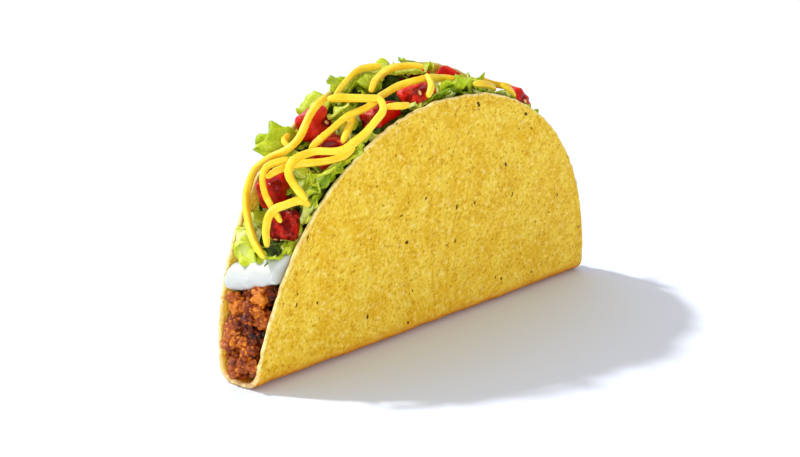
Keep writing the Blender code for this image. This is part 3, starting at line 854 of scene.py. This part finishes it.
LEAVES = [  # places (angle, across, lift), width, roll, ruffle, shade, and cup where it isn't usual
    ([(-42, 13, 3), (-39.5, 9.5, 4), (-37, 6, 3.5), (-34.5, 3, 3)], 11, 10, 1.0, 0.50),
    ([(-31, 9, 3.5), (-27.5, 8.5, 3.5), (-23, 7, 2.5)], 8, 15, 0.8, 0.35),
    ([(-21, 10, 3), (-17.5, 8, 3), (-12, 6.5, 2.5), (-9, 5.5, 2)], 9, 5, 1.0, 0.55),
    ([(-29, 1.5, 1.5), (-26.5, 0.5, 2), (-23.5, 0.5, 1.5)], 4, 20, 0.6, 0.25, 0.3),
    ([(-38, -9.5, 0.5), (-35, -11, 1.5), (-31, -11.5, 1)], 5, -35, 0.8, 0.5),
    ([(-45, -7, 1.5), (-41, -9, 1.8), (-37, -10, 1.3)], 7, -20, 1.0, 0.55),
    ([(-48, -3, 0.5), (-44, -4.5, 0.8), (-40, -5.5, 0.8), (-36, -7, 0.5)], 13, -5, 0.4, 0.75, 0.1),
    ([(-50, -6, 1.5), (-47.5, -8.5, 2), (-44.5, -9.5, 1)], 4, 30, 1.4, 0.25, 0.3),
    ([(-53, -7.5, 1.5), (-50.5, -9, 1.2), (-47.5, -9.5, 0.5)], 5, -40, 1.3, 0.28, 0.3),
    ([(-60, -8.2, 0), (-57.5, -8.5, 0.5), (-54.5, -8.8, 0.3)], 6, -50, 1.0, 0.40),
    ([(-60.5, -7.5, 0), (-58.5, -5.5, 1.5), (-56.5, -4.5, 1.5)], 1.8, 0, 0.2, 0.1),
    ([(-62, -4, 0.5), (-61, -6, 1), (-60.5, -8, 0.5)], 5, 30, 1.2, 0.45),
    ([(-56, 5, 0.5), (-53.5, 3.5, 1.8), (-51, 1.5, 1.5)], 5, 25, 1.3, 0.45, 0.3),
    ([(-60.5, 8, 0.5), (-59, 5.5, 1.8), (-57.5, 3.5, 1.5)], 6, 10, 0.7, 0.20),
    ([(-61, 7, 0.5), (-62.5, 3, 1.0), (-64, -0.5, 0.5)], 6, 0, 1.4, 0.30),
    ([(-18, 2, 1.5), (-14, 4, 2), (-10, 7.5, 2)], 6, 10, 0.8, 0.5),
    ([(-8, 3, 1), (-4.5, 3.5, 1.5), (1, 7, 1.5)], 5, 15, 0.8, 0.15),
    ([(-12, -8, 1.5), (-8.5, -8, 2), (-5.5, -7.5, 1.5)], 5, -10, 1.0, 0.75, 0.3),
    ([(-8, -9.5, 1.5), (-3.5, -9.5, 2), (1, -8.5, 1.5)], 7, -20, 1.0, 0.8, 0.3),
    ([(-4, -10.5, 1), (1.5, -10, 3), (8, -8, 3.5)], 7, 25, 1.5, 0.5, 0.3),
    ([(30, -9, 0.3), (33.5, -9.3, 0.5), (37.5, -9.2, -0.3)], 5, -30, 1.0, 0.6),
    ([(-13, 9, 0.8), (-8, 9.5, 0.5), (-3, 9, 0.3)], 7, -15, 1.2, 0.35),
    ([(-7, 7, 0.5), (-3, 6, 0.8), (2, 5, 0.8)], 7, 20, 1.2, 0.30),
    ([(-3, 3, 0.5), (1, 4, 1.5), (6, 4, 1.2)], 8, 10, 1.2, 0.40),
    ([(-2, 9, -0.5), (3, 9, -0.5), (8, 8.5, -0.5)], 6, -10, 1.2, 0.25),
    ([(6, 9, -0.5), (10, 8.5, -0.5), (15, 9, 0)], 5, -20, 1.2, 0.45),
    ([(8, -2, 2), (12, -4, 2.5), (17, -5, 2)], 7, 20, 1.4, 0.50),
    ([(15, 5, 1.5), (20, 5, 2), (25, 4, 1.5)], 8, 10, 1.2, 0.45),
    ([(17, -7, 0.5), (22, -8, 1), (27, -6, 0.5)], 7, -10, 1.2, 0.60),
    ([(37, -5, -0.5), (41, -5.5, -0.8), (46, -5, -0.8)], 7, -10, 1.2, 0.50),
]
LOOSE_LEAVES, LOOSE_FROM, LOOSE_SPAN, LOOSE_LIMITS = 130, -64, 124, (-65, 60)
LOOSE_SHADES = 0.1, 0.3, 0.45, 0.6, 0.75, 0.9
LOOSE_FROM_RIM, LOOSE_UNEVEN = 1.5, 0.8  # in mm
LOOSE_LEVELS, LOOSE_STRIDES, LOOSE_WIDTHS = (-4.0, 0.5), (2.5, 5.5), (3.5, 9)  # in mm
LOOSE_ROLL, LOOSE_RUFFLES, LOOSE_CUPS = 32, (0.4, 1.3), (-0.2, 0.4)
HIDDEN_END, HIDDEN_END_LOWER = 35, 1.5  # the leaves lie lower past this angle (degrees, mm)
leaf_dice = random.Random(12)
leaves = LeafMesh()
for number, leaf in enumerate(LEAVES, 1):
    leaves.add(number, *leaf)
for number in range(LOOSE_LEAVES):
    angle = LOOSE_FROM + LOOSE_SPAN * (number + leaf_dice.random()) / LOOSE_LEAVES
    (_, near_y), (_, far_y) = rims_at(math.radians(angle))
    low, high = near_y / MM + LOOSE_FROM_RIM, far_y / MM - LOOSE_FROM_RIM
    across = leaf_dice.uniform(low, high)
    heading, bend = leaf_dice.uniform(0, math.tau), leaf_dice.gauss(0, 0.5)
    level = leaf_dice.uniform(*LOOSE_LEVELS) - (HIDDEN_END_LOWER if angle > HIDDEN_END else 0)
    stride = leaf_dice.uniform(*LOOSE_STRIDES)
    places = []
    for _ in range(4):
        places.append((angle, across, level + leaf_dice.uniform(-LOOSE_UNEVEN, LOOSE_UNEVEN)))
        angle += math.degrees(math.cos(heading) * stride * MM / HALF_SPAN)
        angle = min(LOOSE_LIMITS[1], max(LOOSE_LIMITS[0], angle))
        across = min(high, max(low, across + math.sin(heading) * stride))
        heading += bend
    shade = leaf_dice.choice(LOOSE_SHADES)
    width, roll = leaf_dice.uniform(*LOOSE_WIDTHS), leaf_dice.gauss(0, LOOSE_ROLL)
    ruffle, cup = leaf_dice.uniform(*LOOSE_RUFFLES), leaf_dice.uniform(*LOOSE_CUPS)
    leaves.add(100 + number, places, width, roll, ruffle, shade, cup)

GREENS = [  # from the ribs to the darkest leaf
    (0.0, (0.74, 0.82, 0.28)),
    (0.3, (0.56, 0.64, 0.03)),
    (0.6, (0.32, 0.43, 0.006)),
    (1.0, (0.09, 0.18, 0.003)),
]
leaf_green = Finish("lettuce leaf", Roughness=0.36, Specular_IOR_Level=0.2,
                    Subsurface_Weight=0.3, Subsurface_Radius=(0.0012, 0.0014, 0.0004), Subsurface_Scale=1.0)
sheet = leaf_green.stored("leaf", out="Vector")
shade = leaf_green.stored("shade")
patch = sheet.grain(4 * MM, detail=3)
veins = sheet.cells(2.6 * MM, feature="DISTANCE_TO_EDGE").step(0.10, 0.02)
fine_veins = sheet.cells(0.9 * MM, feature="DISTANCE_TO_EDGE").step(0.16, 0.02)
depth = shade + 0.5 * (patch - 0.5) - 0.09 * veins - 0.05 * fine_veins
leaf_green.set("Base Color", depth.node("ValToRGB", {"stops": GREENS}, {0: depth}))
leaf_green.relief(veins * 0.3 + fine_veins * 0.2 + 0.5 * sheet.grain(0.8 * MM), 0.12 * MM)

core_mesh = solid_copy("lettuce", CORE_CELL)
for vert, normal in [(vert, vert.normal.copy()) for vert in core_mesh.vertices]:
    folds = abs(lump(vert.co, CORE_FOLD_SIZE, 4)) + 0.5 * abs(lump(vert.co, CORE_FOLD_SIZE / 2.5, 6))
    vert.co = keep_inside(vert.co - normal * (CORE_INSET + CORE_FOLD * folds), CORE_INSET)
# The core under the leaves is painted nearly black-green in dark patches: painted shade in the gaps between
# the leaves.
shadow_green = Finish("lettuce core in painted shade", Roughness=0.5, Specular_IOR_Level=0.2)
core_shade_patches = shadow_green.place.grain(3 * MM, detail=3).step(0.35, 0.7)
shadow_green.set("Base Color", core_shade_patches.tint((0.012, 0.022, 0.002), (0.07, 0.13, 0.006)))
new_piece("lettuce_core", core_mesh, shadow_green.material, "lettuce", "lettuce")
new_piece("lettuce_leaves", leaves.mesh("lettuce_leaves"), leaf_green.material, "lettuce", "lettuce")


# The tomatoes -----------------------------------------------------------------
# Ripe tomato cut into dice. One side of each is smooth glossy skin, and the others are wet cut flesh:
# grainy, streaked with pale fibre, with hollows of clear jelly. A few pale seeds stick to them.

DIE_CELL = 0.3 * MM
BROAD_FACE = 10 * MM * MM  # the dice's blunted edges are smaller
SKIN_SIDES = [  # which way each die's skin faces, nearly
    (-0.7, -0.6, 0.4), (0.6, 0.3, -0.7), (-0.4, -0.4, 0.8), (0.8, 0.4, -0.3),
    (0.6, -0.7, 0.3), (0.6, -0.7, 0.35), (-0.4, -0.6, 0.7), (0.3, -0.6, 0.7),
    (0.2, -0.7, 0.7), (0.7, 0.6, 0.4), (0.5, -0.7, 0.6), (0.3, 0.9, 0.2),
]
SKIN_FROM, JELLY_FROM, BLEND = 0.75, 0.13, 0.1
FLESH_LUMP, FLESH_LUMP_SIZE = 0.16 * MM, 2.6 * MM
FLESH_GRAIN, FLESH_GRAIN_SIZE = 0.07 * MM, 0.7 * MM
PALE_DICE = {2: 0.15, 4: 0.3, 5: 0.45, 6: 0.2, 8: 0.3}  # how much pale fibre shows in a die's flesh
DEEP_DICE = {1: 0.55, 2: 0.75, 6: 0.0}  # how dark a die's red is
USUALLY_PALE, USUALLY_DEEP = 0.05, 0.22
JELLY_DEPTH, JELLY_SIZE = 0.4 * MM, 5 * MM
SEEDS_ON_DIE = 6
SEED_SIZE = 0.85 * MM, 0.55 * MM, 0.3 * MM  # half its length, width and thickness
SEED = ball(2)
FLESH_REDS, SKIN_RED = ((0.52, 0.004, 0.002), (0.88, 0.020, 0.004)), (0.68, 0.006, 0.002)
FIBRE_PINK, SPECK_AND_GLINT_PINK, SEED_STRAW = (0.92, 0.36, 0.20), (0.95, 0.35, 0.22), (0.85, 0.50, 0.20)
JELLY_RED, DEEP_RED = (0.26, 0.003, 0.002), (0.10, 0.0005, 0.0005)
CUT_ROUGHNESS, WET_ROUGHNESS = 0.28, 0.14
flesh = Finish("tomato", Specular_IOR_Level=0.14,
               Subsurface_Weight=0.15, Subsurface_Radius=(0.003, 0.0006, 0.0004), Subsurface_Scale=1.0)
skin = flesh.stored("skin")
jelly = flesh.stored("jelly")
pale = flesh.stored("pale")
deep = flesh.stored("deep")
seed = flesh.stored("tone")  # a Heap stores 1 on the seeds and 0 on its core
pulp = flesh.place.grain(3 * MM, detail=4)
fibre = flesh.place.grain(1.6 * MM, detail=4, roughness=0.7, stretch=(1, 1, 3))
grain_and_glints = flesh.place.grain(0.55 * MM, detail=2)
patches = flesh.place.grain(3.5 * MM, detail=3)
colour = pulp.step(0.3, 0.7).tint(*FLESH_REDS)
for mask, over in (
    (fibre.step(0.44, 0.66) * pale, FIBRE_PINK),
    # Pale pink specks on the cut flesh: partly pale granules, partly painted glints.
    (grain_and_glints.step(0.58, 0.76) * 0.5 * (0.12 + pale), SPECK_AND_GLINT_PINK),
    (jelly, JELLY_RED),
    (skin, SKIN_RED),
    (deep * (patches.step(0.36, 0.62) * 1.1 + 0.4), DEEP_RED),
    (seed, SEED_STRAW),
):
    colour = mask.tint(colour, over)
flesh.set("Base Color", colour)
uncut = skin.maths("MAXIMUM", skin, jelly)
flesh.set("Roughness", uncut * (WET_ROUGHNESS - CUT_ROUGHNESS) + CUT_ROUGHNESS)
flesh.relief((1 - uncut) * (grain_and_glints + fibre * 0.5), 0.18 * MM)

for number, side in enumerate(SKIN_SIDES, 1):
    name = f"tomato_{number:02d}"
    broad = [p.normal for p in nodes[name].data.polygons if p.area > BROAD_FACE]
    side = max(broad, key=lambda normal: normal.dot(Vector(side).normalized())).copy()
    mesh = solid_copy(name, DIE_CELL, 2)
    skins, jellies = [], []
    normals = [vert.normal.copy() for vert in mesh.vertices]
    for vert, normal in zip(mesh.vertices, normals):
        is_skin = min(1.0, max(0.0, (normal.dot(side) - SKIN_FROM) / BLEND))
        hollow = lump(vert.co, JELLY_SIZE, number)
        is_jelly = min(1.0, max(0.0, (hollow - JELLY_FROM) / BLEND)) * (1 - is_skin)
        push = FLESH_LUMP * lump(vert.co, FLESH_LUMP_SIZE, number) * (1 - 0.7 * is_skin)
        push += FLESH_GRAIN * lump(vert.co, FLESH_GRAIN_SIZE) * (1 - is_skin) * (1 - is_jelly)
        vert.co += normal * (push - JELLY_DEPTH * is_jelly)
        skins.append(is_skin)
        jellies.append(is_jelly)
    cut = bmesh.new()
    cut.from_mesh(mesh)
    die = Heap(cut)
    seed_dice = random.Random(number)
    wet = [spot for spot, is_jelly in enumerate(jellies) if is_jelly > 0.9]
    for spot in seed_dice.sample(wet, min(SEEDS_ON_DIE, len(wet))):
        lying = normals[spot].to_track_quat("Z", "Y").to_matrix()
        lying @= Matrix.Rotation(seed_dice.uniform(0, math.tau), 3, "Z")
        die.add(SEED, mesh.vertices[spot].co, SEED_SIZE, lying, None, 1.0)
    mesh = die.mesh(name)
    points = len(mesh.vertices)
    on_seeds = [0.0] * (points - len(skins))
    store(mesh, "skin", skins + on_seeds)
    store(mesh, "jelly", jellies + on_seeds)
    store(mesh, "pale", [PALE_DICE.get(number, USUALLY_PALE)] * points)
    store(mesh, "deep", [DEEP_DICE.get(number, USUALLY_DEEP)] * points)
    new_piece(f"tomato_die_{number:02d}", mesh, flesh.material, "tomato", name)


# The cheese -------------------------------------------------------------------
# Cheddar grated into long soft strands with blunt corners, strewn over the top last of all. They
# droop over whatever they land on.

CHEESE_ROUTES = [  # each strand's places: angle round the heap in degrees, and place across in mm
    [(-23.5, 5), (-18, 7.5), (-11, 9.5), (-7, 7.5)],
    [(-17.5, -1), (-12.5, 2.5), (-7.5, 4.5), (-3, 3.5), (0.5, 0)],
    [(-36, 8), (-38, 7.5), (-39.5, 3.5)],
    [(-25.5, -3.5), (-31, -7.5), (-34, -8.5)],
    [(-20, -9), (-18, -11), (-15, -12)],
    [(9.5, -9.5), (14.5, -9), (18.5, -7.5), (21.5, -5.5)],
    [(19, -10.3), (22.5, -10.3), (25.5, -10)],
    [(-48, 1.5), (-45.5, -0.5), (-42.5, -2.5), (-39.5, -7), (-36.5, -10.5), (-33, -11)],
    [(-62.5, -6.5), (-58.5, 2), (-54.5, 7), (-50.5, 10), (-46.5, 10), (-44, 6.5), (-38, 0.5), (-26.5, 3)],
    [(-39, -3.5), (-31, -5.5), (-22.5, -7.5), (-17, -5), (-11, -4.5), (-5, -7), (1.5, -6.5), (4.5, -10)],
    [(-43.5, -3.5), (-45.5, -1), (-47.5, 0.5), (-51.5, -2), (-55, -7)],
    [(-60.5, -8), (-57, -6), (-54, -6), (-52, -7.5), (-49.5, -8.5), (-49.5, -11)],
    [(-49.5, -12), (-47, -6.5), (-45, -5.5), (-42.5, -6), (-39.5, -7), (-36.5, -12), (-32, -13), (-27, -13),
     (-23.5, -13), (-22, -10), (-24, -7.5), (-28.5, -0.5)],
    [(-6, -8.5), (-7.5, -12), (-10, -13)],
    [(39.5, 7), (42, 6), (46, 1), (50, -3)],
    [(56, -3), (52, 2), (46, 7), (40, 9)],
    [(48.5, 0), (49.5, 3.5), (52, 7), (56, 5)],
    [(26, 6), (30, 7), (34, 5), (37, 2)],
    [(58.5, -2.5), (60.5, 0), (61, 3)],
    [(57.5, 7.5), (54.5, 8.5), (50.5, 9)],
]
SHRED_RADIUS = 1.2 * MM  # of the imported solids
STRAND_POINT_EVERY, STRAND_SIDES = 0.45 * MM, 20
STRAND_RADIUS, STRAND_FLATNESS = 1.02 * MM, 0.8
SQUARENESS = 4.5
END_TAPER, END_TAPER_REACH = 0.35, 4 * MM
TIP_FROM, TIP_REACH = 0.12 * MM, 0.9 * MM
SWELL, SWELL_LENGTH, BITTY = 0.12, 7 * MM, 0.03
TWIST, TWIST_LENGTH = 0.02, 9 * MM


def strand_line(number, route):
    """The middle line of a strand: over its route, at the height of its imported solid."""
    tree = node_tree(f"cheese_{number:02d}")
    knots = np.array(route, float) * (math.radians(1) * HALF_SPAN, MM)
    places = smooth_line(knots, SHRED_RADIUS)
    tops = [height_over(tree, arc / HALF_SPAN, y) for arc, y in places]
    known = [i for i, top in enumerate(tops) if top is not None]
    tops = np.interp(range(len(tops)), known, [tops[i] for i in known])
    tops = np.convolve(np.pad(tops, 2, mode="edge"), np.ones(5) / 5, mode="valid")
    line = []
    for (arc, y), top in zip(places, tops):
        line.append(out_from_axis(arc / HALF_SPAN) * (top - SHRED_RADIUS) + Vector((0, y, 0)))
    return smooth_line([tuple(p) for p in line], STRAND_POINT_EVERY)


def add_strand(bm, line, radius, seed):
    """A soft square strand along a line: uneven in thickness, with blunt torn ends."""
    dice = random.Random(seed)
    roll = dice.uniform(0, math.tau)
    dice.random()  # not used, but it keeps the later draws as they are
    rings, count = [], len(line)
    up = Vector((0.3, 0.2, 1))
    for i, place in enumerate(line):
        _, side, up = axes_at(line, i, up)
        from_end = min(i, count - 1 - i) * STRAND_POINT_EVERY
        tip = math.sqrt(1 - (1 - min(1.0, (from_end + TIP_FROM) / TIP_REACH)) ** 2)
        tip *= 1 - END_TAPER * max(0.0, 1 - from_end / END_TAPER_REACH) ** 2
        swell = 1 + SWELL * lump((i * STRAND_POINT_EVERY, seed, 0), SWELL_LENGTH)
        swell += BITTY * dice.uniform(-1, 1)
        roll += TWIST * lump((i * STRAND_POINT_EVERY, seed, 1), TWIST_LENGTH)
        ring = []
        for k in range(STRAND_SIDES):
            turn = math.tau * k / STRAND_SIDES
            wide, high = math.cos(turn), math.sin(turn)
            square = (abs(wide) ** SQUARENESS + abs(high) ** SQUARENESS) ** (-1 / SQUARENESS)
            reach = radius * square * tip * swell
            wide, high = wide * reach, high * reach * STRAND_FLATNESS
            offset = side * (wide * math.cos(roll) - high * math.sin(roll))
            offset += up * (wide * math.sin(roll) + high * math.cos(roll))
            ring.append(bm.verts.new(Vector(place) + offset))
        rings.append(ring)
    for low, high in zip(rings, rings[1:]):
        for k in range(STRAND_SIDES):
            n = (k + 1) % STRAND_SIDES
            bm.faces.new((low[k], low[n], high[n], high[k]))
    bm.faces.new(rings[0][::-1])
    bm.faces.new(rings[-1])


cheddar = Finish("cheddar", Roughness=0.4, Specular_IOR_Level=0.25,
                 Subsurface_Weight=0.15, Subsurface_Radius=(0.0015, 0.001, 0.0004), Subsurface_Scale=1.0)
tone = cheddar.place.grain(5 * MM, detail=2)
colour = tone.step(0.3, 0.7).tint((0.94, 0.58, 0.012), (1.0, 0.73, 0.045))
crumbly = cheddar.place.grain(1.0 * MM, detail=4, roughness=0.7)
colour = (crumbly.step(0.52, 0.75) * 0.5).tint(colour, (1.0, 0.87, 0.22))
cheddar.set("Base Color", colour)
cheddar.relief(cheddar.place.grain(1.2 * MM, detail=3), 0.12 * MM)
for number, route in enumerate(CHEESE_ROUTES, 1):
    bm = bmesh.new()
    add_strand(bm, strand_line(number, route), STRAND_RADIUS, number)
    mesh = bpy.data.meshes.new("cheese")
    bm.to_mesh(mesh)
    bm.free()
    name = f"cheese_strand_{number:02d}"
    new_piece(name, mesh, cheddar.material, "cheese", f"cheese_{number:02d}")
